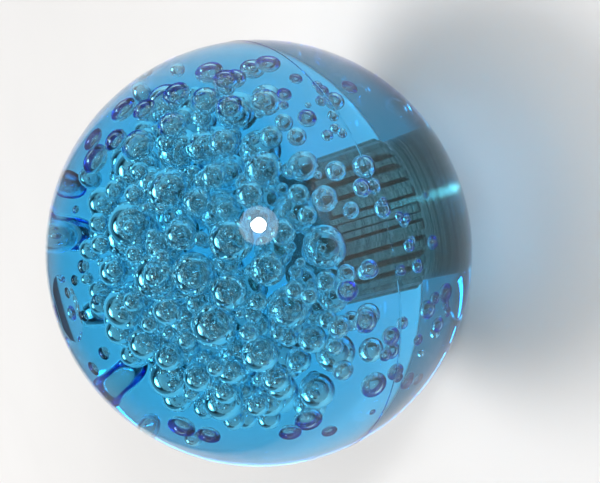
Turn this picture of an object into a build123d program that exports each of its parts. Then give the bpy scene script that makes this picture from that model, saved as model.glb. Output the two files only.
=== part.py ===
"""A clear ball full of air bubbles, moulded round a splined, threaded metal insert.

The part stands on the small flat round its mouth: z = 0 is the mouth, +Z runs up the
insert to the gate mark at the far pole. Millimetres and degrees.
"""

from build123d import *
from math import cos, hypot, pi, radians, sin, sqrt, tan
from random import Random
import os

# Ball
ball_diameter = 60.0
rest_ring_width = 0.7  # ground flat round the insert's mouth, which the ball stands on
gate_flat_diameter = 9.2  # sawn and polished flat at the top pole
parting_drop = 1.6  # the mould's parting line lies this far below the ball's centre
parting_wire = 0.2  # diameter of the fine ridge left at the parting line
parting_proud = 0.05  # how far that ridge stands out of the ball

# Insert
collar_diameter = 12.6
collar_length = 14.5  # from the mouth to the shoulder where the splines start
spline_count = 24
spline_height = 0.6  # of each tooth above the collar
spline_crest = 0.7  # width of a tooth's flat top
spline_flank_angle = 24.0  # each flank leans this far from the tooth's centre line
spline_length = 9.5
edge_chamfer = 0.35  # on the splines' two ends

# Blind threaded hole, with the wall at the thread's core
thread_core_diameter = 6.8
thread_depth = 16.0
thread_countersink = 0.9  # this much wider than the core on each side, at the mouth
drill_point_angle = 118.0

# Bubbles: a dense cloud about the ball's centre, then loose groups in the clear skin
cloud_skin = 12.8  # clear depth between the cloud and the ball's surface
cloud_under = 3.2  # how far the cloud reaches below the ball's centre
cloud_core = 7.5  # no bubble's centre is nearer than this to the ball's centre
bubble_gap = 0.14  # least wall between two bubbles
bubble_wall = 0.7  # least wall between a bubble and the insert or the ball's surface
bubble_seed = 11

# Each batch: how many, smallest radius, largest radius. Big ones settle first.
cloud_batches = [(38, 2.1, 2.65), (78, 1.5, 2.1), (84, 1.0, 1.5), (84, 0.45, 0.95)]

# Each group: azimuth, elevation from the centre, depth under the surface, how many,
# spread, smallest radius, largest radius
loose_groups = [
    (-20, -1, 9.6, 4, 2.4, 1.2, 1.7),
    (-27, 4, 10.4, 8, 3.6, 1.5, 2.3),
    (-13, 28, 10.0, 6, 3.0, 1.5, 2.2),
    (-6, 45, 6.0, 3, 2.2, 1.6, 2.1),
    (-47, -10, 9.0, 13, 4.4, 0.6, 1.2),
    (-66, -13, 12.0, 3, 3.0, 0.9, 1.5),
    (-86, -16, 12.0, 4, 3.2, 0.9, 1.5),
    (-93, -23, 8.6, 6, 3.0, 0.5, 1.0),
    (-112, -19, 6.6, 5, 4.2, 0.7, 1.2),
    (-118, 4, 10.6, 8, 4.0, 0.9, 1.5),
    (-130, -17, 4.8, 11, 5.0, 0.7, 1.4),
    (-138, -5, 7.6, 6, 3.8, 0.9, 1.7),
    (-151, 16, 4.6, 3, 2.4, 1.1, 1.9),
    (-167, 45, 4.4, 2, 2.2, 1.4, 1.9),
    (168, 75, 5.2, 2, 2.0, 0.8, 1.3),
    (-20, 85, 6.4, 5, 3.4, 0.5, 1.0),
    (140, 12, 10.4, 6, 4.0, 0.6, 1.4),
    (100, -6, 10.4, 7, 4.6, 0.6, 1.4),
    (60, 17, 10.0, 7, 4.6, 0.6, 1.5),
    (30, -6, 10.4, 5, 4.0, 0.6, 1.3),
]
lone_bubble_count = 14  # single small ones anywhere in the skin
lone_bubble_smallest = 0.3
lone_bubble_largest = 0.7
tries_per_bubble = 400

# Worked out from the above
ball_radius = ball_diameter / 2
collar_radius = collar_diameter / 2
rest_flat_radius = collar_radius + rest_ring_width
gate_flat_radius = gate_flat_diameter / 2
centre_height = sqrt(ball_radius**2 - rest_flat_radius**2)
gate_height = centre_height + sqrt(ball_radius**2 - gate_flat_radius**2)
spline_radius = collar_radius + spline_height
insert_length = collar_length + spline_length
thread_core_radius = thread_core_diameter / 2


def ball_blank():
    """The ball before its cavities: a sphere with both flats and the parting ridge."""
    ball = Pos(0, 0, centre_height) * Sphere(ball_radius)
    ring_height = centre_height - parting_drop
    wire_radius = parting_wire / 2
    ring_radius = sqrt(ball_radius**2 - parting_drop**2) + parting_proud - wire_radius
    ball += Pos(0, 0, ring_height) * Torus(ring_radius, wire_radius)
    between_flats = Box(
        ball_diameter,
        ball_diameter,
        gate_height,
        align=(Align.CENTER, Align.CENTER, Align.MIN),
    )
    return ball & between_flats


def spline_tooth():
    """Outline of one tooth along +X, its foot sunk in the collar's circle."""
    foot = collar_radius * cos(pi / spline_count) - spline_height
    lean = tan(radians(spline_flank_angle))
    top_half = spline_crest / 2
    foot_half = top_half + (spline_radius - foot) * lean
    return make_face(
        Polyline(
            (foot, -foot_half),
            (spline_radius + spline_height, -top_half + spline_height * lean),
            (spline_radius + spline_height, top_half - spline_height * lean),
            (foot, foot_half),
            close=True,
        )
    )


def insert_blank():
    """The insert's outside, without its hole: collar, then the splined body."""
    section = Circle(collar_radius)
    for i in range(spline_count):
        section += Rot(0, 0, i * 360 / spline_count) * spline_tooth()
    section &= Circle(spline_radius)
    splines = Pos(0, 0, collar_length) * extrude(section, spline_length)
    ends = Pos(0, 0, collar_length) * Cylinder(
        spline_radius,
        spline_length,
        align=(Align.CENTER, Align.CENTER, Align.MIN),
    )
    splines &= chamfer(ends.edges().filter_by(GeomType.CIRCLE), edge_chamfer)
    collar = Cylinder(
        collar_radius,
        collar_length,
        align=(Align.CENTER, Align.CENTER, Align.MIN),
    )
    return collar + splines


def threaded_hole():
    """Blind hole at the thread's core, with its countersink and drill point."""
    countersink_radius = thread_core_radius + thread_countersink
    point = thread_core_radius / tan(radians(drill_point_angle / 2))
    outline = Polyline(
        (0, 0),
        (countersink_radius, 0),
        (thread_core_radius, thread_countersink),
        (thread_core_radius, thread_depth),
        (0, thread_depth + point),
        close=True,
    )
    return revolve(make_face(Plane.XZ * outline), Axis.Z)


def clear_of_insert(x, y, z, radius):
    """True if a bubble leaves its wall between itself and the insert."""
    across = max(0.0, hypot(x, y) - spline_radius)
    above = max(0.0, z - insert_length)
    return hypot(across, above) > radius + bubble_wall


def room_for(bubbles, x, y, z, radius):
    """True if a bubble fits in the ball among the bubbles already there."""
    lift = z - centre_height
    if sqrt(x * x + y * y + lift * lift) + radius + bubble_wall > ball_radius:
        return False
    if not bubble_wall + radius < z < gate_height - bubble_wall - radius:
        return False
    if not clear_of_insert(x, y, z, radius):
        return False
    for bx, by, bz, other in bubbles:
        reach = radius + other + bubble_gap
        if (x - bx) ** 2 + (y - by) ** 2 + (z - bz) ** 2 < reach**2:
            return False
    return True


def cloud_bubbles(draw):
    """The dense cloud: a sphere of bubbles cut off a little below the ball's centre."""
    bubbles = []
    cloud_radius = ball_radius - cloud_skin
    for count, smallest, largest in cloud_batches:
        placed = 0
        for _ in range(count * tries_per_bubble):
            radius = draw.uniform(smallest, largest)
            x, y, z = (draw.uniform(-cloud_radius, cloud_radius) for _ in range(3))
            if not cloud_core < sqrt(x * x + y * y + z * z) < cloud_radius - radius:
                continue
            if z - radius < -cloud_under:
                continue
            if room_for(bubbles, x, y, z + centre_height, radius):
                bubbles.append((x, y, z + centre_height, radius))
                placed += 1
            if placed == count:
                break
    return bubbles


def loose_bubbles(draw, bubbles):
    """Adds the loose groups and the lone bubbles, each clear of those before it."""
    for azimuth, elevation, depth, count, spread, smallest, largest in loose_groups:
        out = ball_radius - depth
        across = out * cos(radians(elevation))
        middle_x = across * cos(radians(azimuth))
        middle_y = across * sin(radians(azimuth))
        middle_z = centre_height + out * sin(radians(elevation))
        placed = 0
        for _ in range(count * tries_per_bubble):
            radius = draw.uniform(smallest, largest)
            x = middle_x + draw.uniform(-spread, spread)
            y = middle_y + draw.uniform(-spread, spread)
            z = middle_z + draw.uniform(-spread, spread)
            if room_for(bubbles, x, y, z, radius):
                bubbles.append((x, y, z, radius))
                placed += 1
            if placed == count:
                break
    placed = 0
    for _ in range(lone_bubble_count * tries_per_bubble):
        radius = draw.uniform(lone_bubble_smallest, lone_bubble_largest)
        x, y, z = (draw.uniform(-ball_radius, ball_radius) for _ in range(3))
        if hypot(x, y, z) < ball_radius - cloud_skin:
            continue
        if room_for(bubbles, x, y, z + centre_height, radius):
            bubbles.append((x, y, z + centre_height, radius))
            placed += 1
        if placed == lone_bubble_count:
            break
    return bubbles


blank = insert_blank()
insert = blank - threaded_hole()

draw = Random(bubble_seed)
bubbles = loose_bubbles(draw, cloud_bubbles(draw))
voids = [Pos(x, y, z) * Sphere(radius) for x, y, z, radius in bubbles]
ball = ball_blank() - blank - voids

os.makedirs("parts", exist_ok=True)
export_step(ball, "parts/ball.step")
export_step(insert, "parts/insert.step")
print("bubbles", len(bubbles), "centre height", round(centre_height, 3))
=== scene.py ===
"""A clear blue ball full of air bubbles, moulded round a splined, threaded metal insert.

Metres. z = 0 is the mouth of the insert, and +Z runs up it to the gate flat at the top.
"""

from math import asin, cos, pi, radians, sin, sqrt

import bmesh
import bpy
from mathutils import Matrix, Vector


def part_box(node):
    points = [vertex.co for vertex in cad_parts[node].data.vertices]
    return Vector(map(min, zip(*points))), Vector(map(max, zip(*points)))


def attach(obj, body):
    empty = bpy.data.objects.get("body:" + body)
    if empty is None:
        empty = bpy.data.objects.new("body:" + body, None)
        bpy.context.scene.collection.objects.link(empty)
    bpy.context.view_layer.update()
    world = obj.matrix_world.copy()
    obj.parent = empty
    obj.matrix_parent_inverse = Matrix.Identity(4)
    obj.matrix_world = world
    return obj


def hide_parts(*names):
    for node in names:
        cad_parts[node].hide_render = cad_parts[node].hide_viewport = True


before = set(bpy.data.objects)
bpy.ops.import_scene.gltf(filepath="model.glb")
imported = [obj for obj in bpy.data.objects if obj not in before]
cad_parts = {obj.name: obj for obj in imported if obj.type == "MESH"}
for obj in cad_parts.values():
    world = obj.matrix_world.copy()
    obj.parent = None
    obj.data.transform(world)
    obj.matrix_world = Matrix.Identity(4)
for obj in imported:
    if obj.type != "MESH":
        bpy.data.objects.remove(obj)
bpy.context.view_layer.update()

MM = 0.001
SCENE = bpy.context.scene
MERGE_STEP = 1e-7  # corners this near to each other are one corner

# The ball
BALL_RADIUS = 30 * MM
REST_FLAT_RADIUS = 7 * MM
CENTRE_HEIGHT = sqrt(BALL_RADIUS**2 - REST_FLAT_RADIUS**2)
CENTRE = Vector((0, 0, CENTRE_HEIGHT))
GATE_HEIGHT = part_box("ball")[1].z
PARTING_DROP = 1.6 * MM
PARTING_HALF_WIDTH = 0.14 * MM
PARTING_PROUD = 0.045 * MM
PARTING_STEPS = 4  # rings on each side of the parting line's crest
BALL_SIDES = 160
BALL_RINGS = 96
BALL_CREASE = radians(6)  # an edge that bends more than this isn't smoothed

# The air bubbles
BUBBLE_DETAIL = [(1.9 * MM, 4), (0.9 * MM, 3), (0, 2)]  # least radius, rounds of subdivision
BUBBLE_LEAST_STRETCH = 0.92  # least width of a squashed bubble, as a share of its full width
BUBBLE_SEED = 5
WIDEST_BUBBLE = BALL_RADIUS / 2  # any wider shell is the ball's own skin

# The insert
INSERT_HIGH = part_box("insert")[1]
INSERT_TOP = INSERT_HIGH.z
COLLAR_RADIUS = 6.3 * MM
COLLAR_LENGTH = 14.5 * MM
CAVITY_BITE = 0.25 * MM  # the clear body runs this far into the metal, so that no gap shows
SPLINE_COUNT = 24
SPLINE_RADIUS = INSERT_HIGH.x
SPLINE_CHAMFER = 0.35 * MM
# Across one tooth and its gap: shares of the way, each with its share of the tooth's height,
# and the shares where the insert's skin has a corner
SPLINE_PROFILE = [(0, 0), (0.17, 0), (0.3, 1), (0.7, 1), (0.83, 0), (1, 0)]
SPLINE_CORNERS = [0, 0.17, 0.2, 0.3, 0.5, 0.7, 0.8, 0.83]
TURNED_PITCH = 0.5 * MM
TURNED_DEPTH = 0.018 * MM
INSERT_CREASE = radians(25)

# The threaded hole
THREAD_CORE_RADIUS = 3.4 * MM
THREAD_ROOT_RADIUS = 4.0 * MM
THREAD_PITCH = 1.25 * MM
THREAD_DEPTH = 16 * MM
THREAD_ROWS = 8  # rings in each pitch
COUNTERSINK_RADIUS = 4.3 * MM
DRILL_POINT = 2.0 * MM
HOLE_STEP = 3  # the hole has one corner for this many on the insert's outside

# The finishes. The body lets BODY_COLOUR through and takes up the rest, more with depth
BODY_COLOUR = (0.0, 0.78, 0.99)
BODY_DENSITY = 58.0
BODY_IOR = 1.49
SKIN_TINT = (0.98, 1.0, 1.0)
# Painted shade: each pass through a bubble wall takes up green and blue, darkening and greying
# the bubble cloud in place of its shading
BUBBLE_WALL_SHADE_TINT = (1.0, 0.73, 0.67)
BUBBLE_WALL_SHADE_ENDS = BALL_RADIUS - 0.6 * MM  # from the ball's centre
SKIN_TINT_STARTS = BALL_RADIUS - 0.4 * MM
# Painted light on the steel: its near black tone is a painted dark reflection, and its fine
# tool marks are real marks painted bright as glints
STEEL_PAINTED_DARK_REFLECTION = (0.008, 0.010, 0.007)
STEEL_TOOL_MARK_GLINT = (0.40, 0.43, 0.36)
TOOL_MARKS = (60, 60, 4500)  # marks in a metre along X, Y and Z
MARKS_SHARE = 0.8  # of the steel's tone; the mottle has the rest
STEEL_ROUGHNESS = 0.14  # between the tool marks
MARKS_ROUGHNESS = 0.16  # added on them
SMEAR_ROUGHNESS = 0.012
TOOL_MARK_DEPTH = 0.03 * MM
FLOOR_TONES = ((0.68, 0.67, 0.66), (0.71, 0.70, 0.69))
FLOOR_RADIUS = 4.0

# The camera looks down on the ball with the insert's mouth to the right and a little up
CAMERA_ELEVATION = radians(28.8)
CAMERA_ROLL = radians(16.2)
CAMERA_DISTANCE = 5.5 * BALL_RADIUS
CAMERA_LENS = 69.3  # mm
CAMERA_SHIFT = (0.0688, 0.0192)
CAMERA_NEAR = 0.01

# The studio. Places are from the ball's centre, in metres, and powers are in watts
BEYOND_PLACE = Vector((0, 0.87, 1.05))
BEYOND_TARGET = (0, 0.36, 0)  # on the floor that shows through the ball
ROOM_WAY = Vector((0, -0.5, -1))
ROOM_STRENGTH = 1.2  # a sun's, in watts a square metre
ROOM_SPREAD = radians(60)
NEAR_CAMERA_BACK = 0.24
HALO_BACK = 0.241  # just behind the lamp near the camera
NEAR_CAMERA_UP = 0.055
STRIP_BACK = 0.3
STRIP_UP = 0.07
STRIP_SIZE = (0.36, 0.01)
BACKDROP_WAY = (0, 0.88, -0.48)  # from the ball to the middle of the bright backdrop
# How nearly a way points at the backdrop, and the air's tone there
AIR_TONES = [(0.0, 0.20), (0.25, 0.22), (0.6, 0.29), (0.88, 0.36)]
AIR_BLUE = 1.01  # the air's blue, as a share of its red and green
# The air dims from full to this share as a way climbs between these heights
OVERHEAD_DIMMING = {"From Min": 0.25, "From Max": 0.5, "To Min": 1.0, "To Max": 0.12}
LIGHT_BOUNCES = 40  # through bubble after bubble
GLOSSY_BOUNCES = 20


# ---------------------------------------------------------------- mesh helpers


def new_piece(name, bm, material):
    """A smooth mesh object at the origin from a bmesh, with one material."""
    mesh = bpy.data.meshes.new(name)
    bm.to_mesh(mesh)
    bm.free()
    mesh.materials.append(material)
    mesh.polygons.foreach_set("use_smooth", [True] * len(mesh.polygons))
    piece = bpy.data.objects.new(name, mesh)
    SCENE.collection.objects.link(piece)
    return piece


def ring(bm, angles, reaches, height):
    """A ring of corners, one at each angle and its own distance from Z."""
    return [bm.verts.new((r * cos(a), r * sin(a), height)) for a, r in zip(angles, reaches)]


def skin(bm, rings):
    """Faces from each ring to the next. Rings have as many corners, or one as a pole."""
    for low, high in zip(rings, rings[1:]):
        sides = max(len(low), len(high))
        for i in range(sides):
            j = (i + 1) % sides
            below = [low[i % len(low)], low[j % len(low)]]
            above = [high[j % len(high)], high[i % len(high)]]
            bm.faces.new(list(dict.fromkeys(below + above)))


def face_outwards(bm, crease):
    """Turns a closed skin's faces outwards and keeps its edges sharp past the crease angle."""
    bmesh.ops.recalc_face_normals(bm, faces=bm.faces)
    for edge in bm.edges:
        if edge.calc_face_angle(0) > crease:
            edge.smooth = False


# ---------------------------------------------------------------- node helpers


class Value:
    """A socket that takes + and * with other sockets and numbers, as Math nodes."""

    def __init__(self, nodes, socket):
        self.nodes = nodes
        self.socket = socket

    def join(self, operation, other):
        return self.nodes.value("ShaderNodeMath", {"operation": operation}, {0: self, 1: other})

    def __add__(self, other):
        return self.join("ADD", other)

    def __mul__(self, other):
        return self.join("MULTIPLY", other)

    __radd__ = __add__
    __rmul__ = __mul__


class Nodes:
    """A node tree under construction."""

    def __init__(self, tree):
        self.tree = tree
        tree.nodes.clear()

    def node(self, kind, settings=None, values=None):
        """A node of this type. Its settings are made before its sockets are filled."""
        made = self.tree.nodes.new(kind)
        for name, setting in (settings or {}).items():
            if name == "stops":
                self.set_stops(made.color_ramp.elements, setting)
            else:
                setattr(made, name, setting)
        self.fill(made, values or {})
        return made

    def fill(self, node, values):
        """Links or sets sockets, each found by its name or number."""
        for name, value in values.items():
            if isinstance(value, Value):
                self.tree.links.new(value.socket, node.inputs[name])
            else:
                node.inputs[name].default_value = value

    def value(self, kind, settings=None, values=None, output=0):
        return Value(self, self.node(kind, settings, values).outputs[output])

    def set_stops(self, elements, stops):
        """Gives a ramp its (position, colour) stops."""
        while len(elements) < len(stops):
            elements.new(0.5)
        for element, (position, colour) in zip(elements, stops):
            element.position = position
            element.color = colour


class Finish(Nodes):
    """A material under construction, with a Principled shader and an output."""

    def __init__(self, name):
        self.material = bpy.data.materials.new(name)
        self.material.use_nodes = True
        super().__init__(self.material.node_tree)
        self.output = self.node("ShaderNodeOutputMaterial")
        self.shader = self.node("ShaderNodeBsdfPrincipled")
        self.fill(self.output, {"Surface": Value(self, self.shader.outputs[0])})
        self.place = self.value("ShaderNodeTexCoord", output="Object")

    def noise(self, scale, detail=2.0, place=None):
        values = {"Vector": place or self.place, "Scale": scale, "Detail": detail}
        return self.value("ShaderNodeTexNoise", None, values)

    def stretched(self, factors):
        values = {"Vector": self.place, "Scale": factors}
        return self.value("ShaderNodeMapping", None, values)

    def blend(self, mask, low, high):
        """A colour between two, by a mask."""
        values = {"Factor": mask, "A": (*low, 1), "B": (*high, 1)}
        return self.value("ShaderNodeMix", {"data_type": "RGBA"}, values, "Result")

    def bump(self, height, distance, strength):
        values = {"Height": height, "Distance": distance, "Strength": strength}
        return self.value("ShaderNodeBump", None, values)


# ---------------------------------------------------------------- the bubbles


def loose_shells(mesh):
    """The corners of each connected part of a mesh, joined by place."""
    keys = [tuple(round(c / MERGE_STEP) for c in v.co) for v in mesh.vertices]
    parent = {key: key for key in keys}

    def root(key):
        while parent[key] != key:
            parent[key] = parent[parent[key]]
            key = parent[key]
        return key

    for a, b in mesh.edge_keys:
        parent[root(keys[a])] = root(keys[b])
    shells = {}
    for vertex, key in zip(mesh.vertices, keys):
        shells.setdefault(root(key), []).append(vertex.co)
    return shells.values()


def frame_bubbles():
    """(centre, radius) of each air bubble in the frame's ball, in a steady order."""
    bubbles = []
    for shell in loose_shells(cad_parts["ball"].data):
        low = Vector([min(co[i] for co in shell) for i in range(3)])
        high = Vector([max(co[i] for co in shell) for i in range(3)])
        if (high - low).x < WIDEST_BUBBLE:
            bubbles.append(((low + high) / 2, max(high - low) / 2))
    return sorted(bubbles, key=lambda bubble: [round(c, 6) for c in bubble[0]])


def bubble_tree(material):
    """Geometry Nodes: a squashed air bubble on each point, its faces towards the air."""
    nodes = Nodes(bpy.data.node_groups.new("air bubbles", "GeometryNodeTree"))
    add_socket = nodes.tree.interface.new_socket
    add_socket("Geometry", in_out="INPUT", socket_type="NodeSocketGeometry")
    add_socket("Least Stretch", in_out="INPUT", socket_type="NodeSocketFloat")
    add_socket("Detail", in_out="INPUT", socket_type="NodeSocketInt")
    add_socket("Seed", in_out="INPUT", socket_type="NodeSocketInt")
    add_socket("Geometry", in_out="OUTPUT", socket_type="NodeSocketGeometry")
    given = nodes.node("NodeGroupInput").outputs
    centres = Value(nodes, given["Geometry"])
    least_stretch = Value(nodes, given["Least Stretch"])
    detail = Value(nodes, given["Detail"])
    seed = Value(nodes, given["Seed"])

    vectors = {"data_type": "FLOAT_VECTOR"}
    widths = {"Min": least_stretch, "Max": (1, 1, 1), "Seed": seed}
    stretch = nodes.value("FunctionNodeRandomValue", vectors, widths, "Value")
    turns = {"Max": (2 * pi, 2 * pi, 2 * pi), "Seed": seed}
    turn = nodes.value("FunctionNodeRandomValue", vectors, turns, "Value")
    named = {"Name": "radius"}
    floats = {"data_type": "FLOAT"}
    radius = nodes.value("GeometryNodeInputNamedAttribute", floats, named, "Attribute")
    scaled = {"Vector": stretch, "Scale": radius}
    size = nodes.value("ShaderNodeVectorMath", {"operation": "SCALE"}, scaled, "Vector")

    round_one = {"Radius": 1, "Subdivisions": detail}
    bubble = nodes.value("GeometryNodeMeshIcoSphere", None, round_one, "Mesh")
    placed = {"Points": centres, "Instance": bubble, "Rotation": turn, "Scale": size}
    copies = nodes.value("GeometryNodeInstanceOnPoints", None, placed, "Instances")
    flipped = nodes.value("GeometryNodeFlipFaces", None, {"Mesh": copies}, "Mesh")
    real = nodes.value("GeometryNodeRealizeInstances", None, {"Geometry": flipped}, "Geometry")
    finished = {"Geometry": real, "Material": material}
    walls = nodes.value("GeometryNodeSetMaterial", None, finished, "Geometry")
    nodes.node("NodeGroupOutput", None, {"Geometry": walls})
    return nodes.tree


def bubble_mesh(bubbles, detail, tree):
    """One mesh of these bubbles' walls, made by the tree on a point for each bubble."""
    points = bpy.data.meshes.new("bubble centres")
    points.from_pydata([centre for centre, _ in bubbles], [], [])
    radius = points.attributes.new("radius", "FLOAT", "POINT")
    radius.data.foreach_set("value", [r for _, r in bubbles])
    holder = bpy.data.objects.new("bubble centres", points)
    SCENE.collection.objects.link(holder)
    maker = holder.modifiers.new("air bubbles", "NODES")
    maker.node_group = tree
    wanted = {"Least Stretch": BUBBLE_LEAST_STRETCH, "Detail": detail, "Seed": BUBBLE_SEED}
    for item in maker.node_group.interface.items_tree:
        if item.in_out == "INPUT" and item.name in wanted:
            maker[item.identifier] = wanted[item.name]
    seen = holder.evaluated_get(bpy.context.evaluated_depsgraph_get())
    mesh = bpy.data.meshes.new_from_object(seen)
    holder.modifiers.remove(maker)
    bpy.data.objects.remove(holder)
    return mesh


# ---------------------------------------------------------------- the ball


def ball_outline():
    """Half section of the ball, from the cavity's top out to the gate flat's middle."""
    inner = COLLAR_RADIUS - CAVITY_BITE
    top = INSERT_TOP - CAVITY_BITE
    points = [(0, top), (inner, top), (inner, CAVITY_BITE), (COLLAR_RADIUS, 0)]
    low = -asin(CENTRE_HEIGHT / BALL_RADIUS)
    high = asin((GATE_HEIGHT - CENTRE_HEIGHT) / BALL_RADIUS)
    parting = -asin(PARTING_DROP / BALL_RADIUS)
    half = PARTING_HALF_WIDTH / BALL_RADIUS
    angles = [low + (high - low) * i / BALL_RINGS for i in range(BALL_RINGS + 1)]
    angles = [a for a in angles if abs(a - parting) > 2 * half]
    steps = range(-PARTING_STEPS, PARTING_STEPS + 1)
    angles += [parting + half * i / PARTING_STEPS for i in steps]
    for a in sorted(angles):
        across = abs(a - parting) / half
        proud = PARTING_PROUD * (1 - across**2) if across < 1 else 0
        reach = BALL_RADIUS + proud
        points.append((reach * cos(a), CENTRE_HEIGHT + reach * sin(a)))
    points.append((0, GATE_HEIGHT))
    return points


def make_ball(material):
    """The clear ball: its outer skin and cavity, then the walls of its bubbles."""
    bm = bmesh.new()
    rings = []
    for radius, height in ball_outline():
        sides = BALL_SIDES if radius else 1
        turns = [2 * pi * i / BALL_SIDES for i in range(sides)]
        rings.append(ring(bm, turns, [radius] * sides, height))
    skin(bm, rings)
    face_outwards(bm, BALL_CREASE)
    tree = bubble_tree(material)
    bubbles = frame_bubbles()
    above = BALL_RADIUS
    for least, detail in BUBBLE_DETAIL:
        batch = [bubble for bubble in bubbles if least <= bubble[1] < above]
        walls = bubble_mesh(batch, detail, tree)
        bm.from_mesh(walls)
        bpy.data.meshes.remove(walls)
        above = least
    return new_piece("bubble_ball", bm, material)


# ---------------------------------------------------------------- the insert


def spline_reach(place):
    """Radius of the splined body, for a place from 0 to 1 across one tooth and its gap."""
    for (a, low), (b, high) in zip(SPLINE_PROFILE, SPLINE_PROFILE[1:]):
        if place <= b:
            share = low + (high - low) * (place - a) / (b - a)
            break
    return COLLAR_RADIUS + (SPLINE_RADIUS - COLLAR_RADIUS) * share


def thread_reach(angle, height):
    """Radius of the hole: its countersink, or a ridge that winds up once each pitch."""
    wind = (height / THREAD_PITCH - angle / (2 * pi)) % 1
    deep = THREAD_ROOT_RADIUS - THREAD_CORE_RADIUS
    reach = THREAD_CORE_RADIUS + deep * abs(2 * wind - 1)
    return max(reach, COUNTERSINK_RADIUS - height)


def insert_outside(bm, angles):
    """The insert's rings from the mouth up: the grooved collar, then the splined body."""
    rings = []
    turned = 2 * round(COLLAR_LENGTH / TURNED_PITCH)
    for i in range(turned + 1):
        reach = COLLAR_RADIUS - (TURNED_DEPTH if i % 2 else 0)
        rings.append(ring(bm, angles, [reach] * len(angles), COLLAR_LENGTH * i / turned))
    teeth = [spline_reach(p) for _ in range(SPLINE_COUNT) for p in SPLINE_CORNERS]
    cut = [min(t, SPLINE_RADIUS - SPLINE_CHAMFER) for t in teeth]
    rings.append(ring(bm, angles, cut, COLLAR_LENGTH))
    rings.append(ring(bm, angles, teeth, COLLAR_LENGTH + SPLINE_CHAMFER))
    rings.append(ring(bm, angles, teeth, INSERT_TOP - SPLINE_CHAMFER))
    rings.append(ring(bm, angles, cut, INSERT_TOP))
    rings.append([bm.verts.new((0, 0, INSERT_TOP))])
    return rings


def threaded_hole(bm, angles):
    """The hole's rings from the mouth up to its drill point."""
    rings = []
    rows = round(THREAD_DEPTH / THREAD_PITCH * THREAD_ROWS)
    for i in range(rows + 1):
        height = THREAD_DEPTH * i / rows
        rings.append(ring(bm, angles, [thread_reach(a, height) for a in angles], height))
    rings.append(ring(bm, angles, [THREAD_CORE_RADIUS] * len(angles), THREAD_DEPTH))
    rings.append([bm.verts.new((0, 0, THREAD_DEPTH + DRILL_POINT))])
    return rings


def make_insert(material):
    """The turned insert: collar, splined body and threaded hole, as one closed skin."""
    bm = bmesh.new()
    across = [i + p - 0.5 for i in range(SPLINE_COUNT) for p in SPLINE_CORNERS]
    angles = [2 * pi * a / SPLINE_COUNT for a in across]
    outside = insert_outside(bm, angles)
    skin(bm, outside)
    hole = threaded_hole(bm, angles[::HOLE_STEP])
    skin(bm, hole)
    mouth, rim = hole[0], outside[0]
    for i in range(len(mouth)):
        outer = [rim[(HOLE_STEP * i + k) % len(rim)] for k in range(HOLE_STEP + 1)]
        bm.faces.new([mouth[(i + 1) % len(mouth)], mouth[i]] + outer)
    bmesh.ops.remove_doubles(bm, verts=bm.verts, dist=MERGE_STEP)
    face_outwards(bm, INSERT_CREASE)
    return new_piece("turned_insert", bm, material)


# ---------------------------------------------------------------- the finishes


def clear_blue():
    """Polished clear blue, which deepens with the length of clear body looked through."""
    f = Finish("clear_blue")
    smears = f.noise(90.0, 3.0)
    ends = {0: f.place, 1: CENTRE}
    out = f.value("ShaderNodeVectorMath", {"operation": "DISTANCE"}, ends, "Value")
    # 0 on the bubble walls with their painted shade, 1 on the outer skin
    spans = {"Value": out, "From Min": BUBBLE_WALL_SHADE_ENDS, "From Max": SKIN_TINT_STARTS}
    outer = f.value("ShaderNodeMapRange", None, spans)
    f.fill(
        f.shader,
        {
            # painted shade on the bubble walls, near clear tint on the outer skin
            "Base Color": f.blend(outer, BUBBLE_WALL_SHADE_TINT, SKIN_TINT),
            "Roughness": smears * SMEAR_ROUGHNESS,
            "IOR": BODY_IOR,
            "Transmission Weight": 1.0,
        },
    )
    depth = {"Color": (*BODY_COLOUR, 1), "Density": BODY_DENSITY}
    f.fill(f.output, {"Volume": f.value("ShaderNodeVolumeAbsorption", None, depth)})
    return f.material


def turned_steel():
    """Turned steel painted near black as a dark reflection, with fine tool marks round the axis
    painted bright as glints, and a mottled tone.
    """
    f = Finish("turned_steel")
    marks = f.noise(1.0, 2.0, f.stretched(TOOL_MARKS))
    mottle = f.noise(400.0)
    # The painted tone: glints along the tool marks, with a random mottle for the rest
    tone = marks * MARKS_SHARE + mottle * (1 - MARKS_SHARE)
    f.fill(
        f.shader,
        {
            # Base colour from a painted dark reflection to painted glints on the tool marks
            "Base Color": f.blend(tone, STEEL_PAINTED_DARK_REFLECTION, STEEL_TOOL_MARK_GLINT),
            "Metallic": 1.0,
            "Roughness": STEEL_ROUGHNESS + marks * MARKS_ROUGHNESS,
            "Normal": f.bump(marks, TOOL_MARK_DEPTH, 0.8),
        },
    )
    return f.material


def pale_floor():
    """A plain matt floor, very slightly uneven in tone."""
    f = Finish("pale_floor")
    tones = f.blend(f.noise(30.0), *FLOOR_TONES)
    f.fill(f.shader, {"Base Color": tones, "Roughness": 0.8})
    return f.material


# ---------------------------------------------------------------- the studio


def make_camera():
    """Makes the camera. Gives the directions up its picture and back from the ball to it."""
    e, roll = CAMERA_ELEVATION, CAMERA_ROLL
    right = Vector((-sin(roll), -cos(roll) * sin(e), -cos(roll) * cos(e)))
    up = Vector((cos(roll), -sin(roll) * sin(e), -sin(roll) * cos(e)))
    back = Vector((0, -cos(e), sin(e)))
    turn = Matrix((right, up, back)).transposed()
    lens = bpy.data.cameras.new("camera")
    lens.lens = CAMERA_LENS
    lens.shift_x, lens.shift_y = CAMERA_SHIFT
    lens.clip_start = CAMERA_NEAR
    camera = bpy.data.objects.new("camera", lens)
    camera.matrix_world = Matrix.Translation(CENTRE + back * CAMERA_DISTANCE) @ turn.to_4x4()
    SCENE.collection.objects.link(camera)
    SCENE.camera = camera
    return up, back


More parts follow.
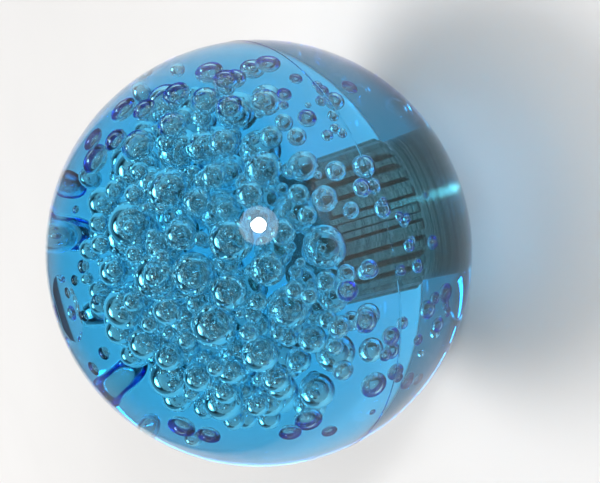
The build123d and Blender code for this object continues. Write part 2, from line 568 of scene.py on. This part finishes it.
def make_world():
    """Soft studio air: brightest beyond the ball, dimmer behind the camera and overhead."""
    world = bpy.data.worlds.new("studio")
    world.use_nodes = True
    nodes = Nodes(world.node_tree)
    way = nodes.value("ShaderNodeTexCoord", output="Generated")
    ways = {0: way, 1: BACKDROP_WAY}
    beyond = nodes.value("ShaderNodeVectorMath", {"operation": "DOT_PRODUCT"}, ways, "Value")
    stops = [(place, (grey, grey, grey * AIR_BLUE, 1)) for place, grey in AIR_TONES]
    tone = nodes.value("ShaderNodeValToRGB", {"stops": stops}, {0: beyond})
    height = nodes.value("ShaderNodeSeparateXYZ", None, {0: way}, "Z")
    dimmed = nodes.value("ShaderNodeMapRange", None, {"Value": height, **OVERHEAD_DIMMING})
    air = nodes.value("ShaderNodeBackground", None, {"Color": tone, "Strength": dimmed})
    nodes.node("ShaderNodeOutputWorld", None, {"Surface": air})
    SCENE.world = world


def hang(name, lamp, glossy=False):
    """An object that holds a lamp. Only a glossy one shows in reflections."""
    holder = bpy.data.objects.new(name, lamp)
    holder.visible_glossy = glossy
    SCENE.collection.objects.link(holder)
    return holder


def softbox(name, place, target, size, power, spread=180, glossy=False):
    """A round lamp, turned to its target."""
    lamp = bpy.data.lights.new(name, "AREA")
    lamp.shape = "DISK"
    lamp.size = size
    lamp.energy = power
    lamp.spread = radians(spread)
    holder = hang(name, lamp, glossy)
    holder.location = place
    holder.rotation_euler = (Vector(target) - place).to_track_quat("-Z", "Y").to_euler()


def strip_light(place, facing, power):
    """A narrow lamp that lies along the insert's axis, for a streak of light along it."""
    lamp = bpy.data.lights.new("strip", "AREA")
    lamp.shape = "RECTANGLE"
    lamp.size, lamp.size_y = STRIP_SIZE
    lamp.energy = power
    along = (Vector((0, 0, 1)) - facing * facing.z).normalized()
    turn = Matrix((along, facing.cross(along), facing)).transposed()
    hang("strip", lamp).matrix_world = Matrix.Translation(place) @ turn.to_4x4()


def room_light():
    """Even light from high beyond the ball, which reaches the whole floor."""
    lamp = bpy.data.lights.new("room", "SUN")
    lamp.energy = ROOM_STRENGTH
    lamp.angle = ROOM_SPREAD
    hang("room", lamp).rotation_euler = ROOM_WAY.to_track_quat("-Z", "Y").to_euler()


def light_studio(up, back):
    """The lamps, given the directions up the camera's picture and back to the camera."""
    softbox("beyond", CENTRE + BEYOND_PLACE, BEYOND_TARGET, size=0.84, power=3.2, spread=66)
    room_light()
    near_camera = CENTRE + back * NEAR_CAMERA_BACK + up * NEAR_CAMERA_UP
    softbox("near_camera", near_camera, CENTRE, size=0.03, power=0.3, glossy=True)
    strip_light(CENTRE + back * STRIP_BACK + up * STRIP_UP, back, power=0.36)
    halo = CENTRE + back * HALO_BACK + up * NEAR_CAMERA_UP
    softbox("near_camera_halo", halo, CENTRE, size=0.08, power=0.06, glossy=True)


def make_floor(material):
    """A round floor at z = 0."""
    bm = bmesh.new()
    bmesh.ops.create_circle(bm, cap_ends=True, segments=96, radius=FLOOR_RADIUS)
    floor = new_piece("floor", bm, material)


up, back = make_camera()
make_world()
light_studio(up, back)
make_floor(pale_floor())

SCENE.view_settings.view_transform = "Standard"
SCENE.cycles.max_bounces = LIGHT_BOUNCES
SCENE.cycles.transmission_bounces = LIGHT_BOUNCES
SCENE.cycles.glossy_bounces = GLOSSY_BOUNCES

ball = make_ball(clear_blue())
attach(ball, "root")
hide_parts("ball")

insert = make_insert(turned_steel())
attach(insert, "root")
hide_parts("insert")
